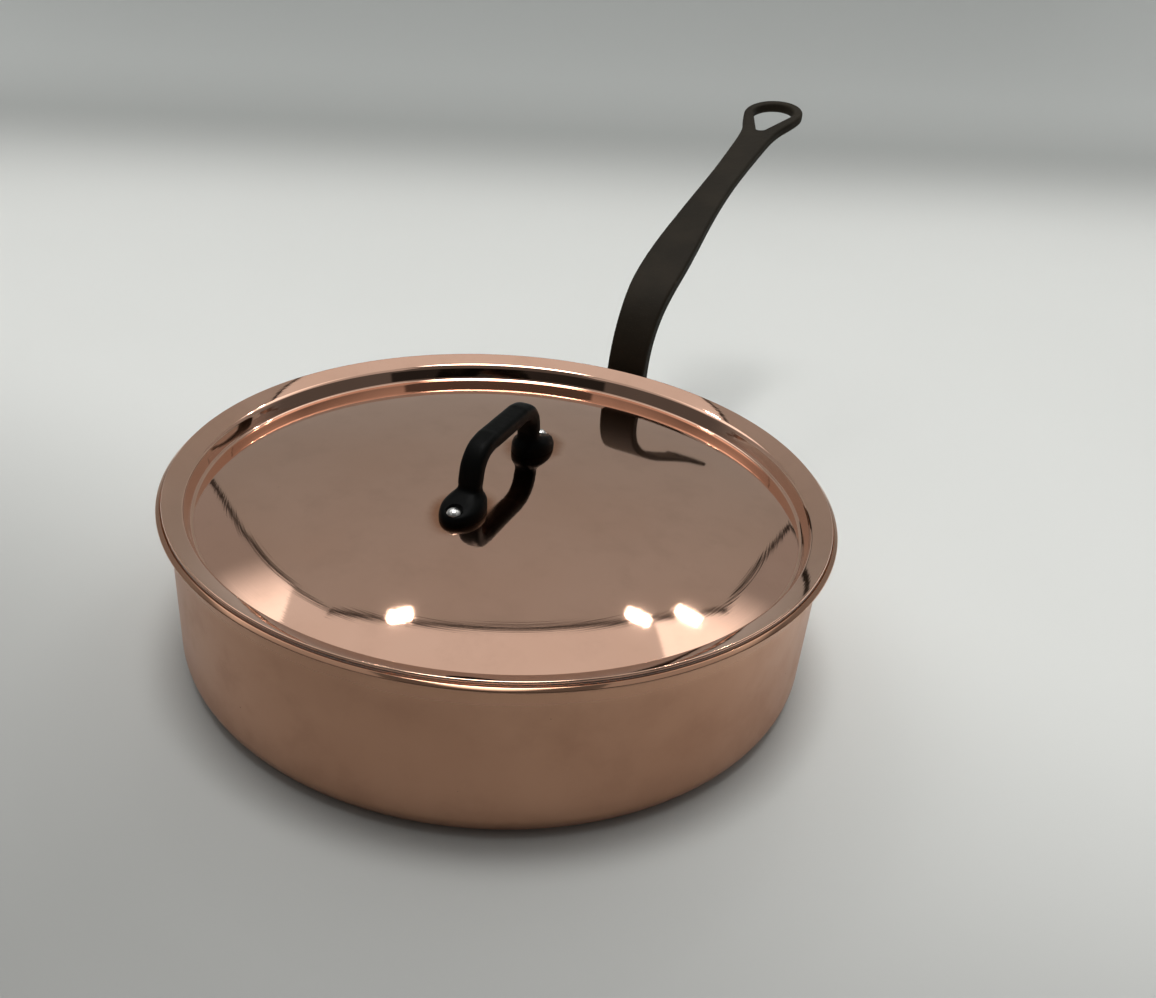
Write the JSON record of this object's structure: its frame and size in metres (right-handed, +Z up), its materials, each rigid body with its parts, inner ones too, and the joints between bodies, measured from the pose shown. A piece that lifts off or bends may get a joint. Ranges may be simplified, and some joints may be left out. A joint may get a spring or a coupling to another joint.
{
  "type": "saute pan with lid",
  "caption": "Straight-sided copper saute pan with a pouring lip, a riveted cast-iron long handle with a hanging eye, and a stepped, domed copper lid with a loop handle.",
  "frame": {"origin": "centre of the pan's base, on the surface that the pan stands on", "axes": "+Z up, +Y along the long handle away from the pan, +X to the right when looking along +Y"},
  "size_m": [0.2946, 0.5583, 0.185],
  "materials": {
    "copper": "polished copper",
    "steel_lining": "satin stainless steel",
    "cast_iron": "dark, slightly rough casting",
    "rivet_steel": "bright stainless steel"
  },
  "bodies": {
    "pan": {"pan_copper_shell": "copper", "pan_steel_lining": "steel_lining", "long_handle": "cast_iron", "handle_rivet_left": "rivet_steel", "handle_rivet_right": "rivet_steel", "handle_rivet_lower": "rivet_steel"},
    "lid": {"lid_copper_shell": "copper", "lid_steel_lining": "steel_lining", "lid_handle": "cast_iron", "lid_rivet_front": "rivet_steel", "lid_rivet_back": "rivet_steel"}
  },
  "joints": [
    {"name": "lid_lift", "type": "slide", "parent": "pan", "child": "lid", "axis": [0, 0, 1], "range_m": [0, 0.15]}
  ]
}
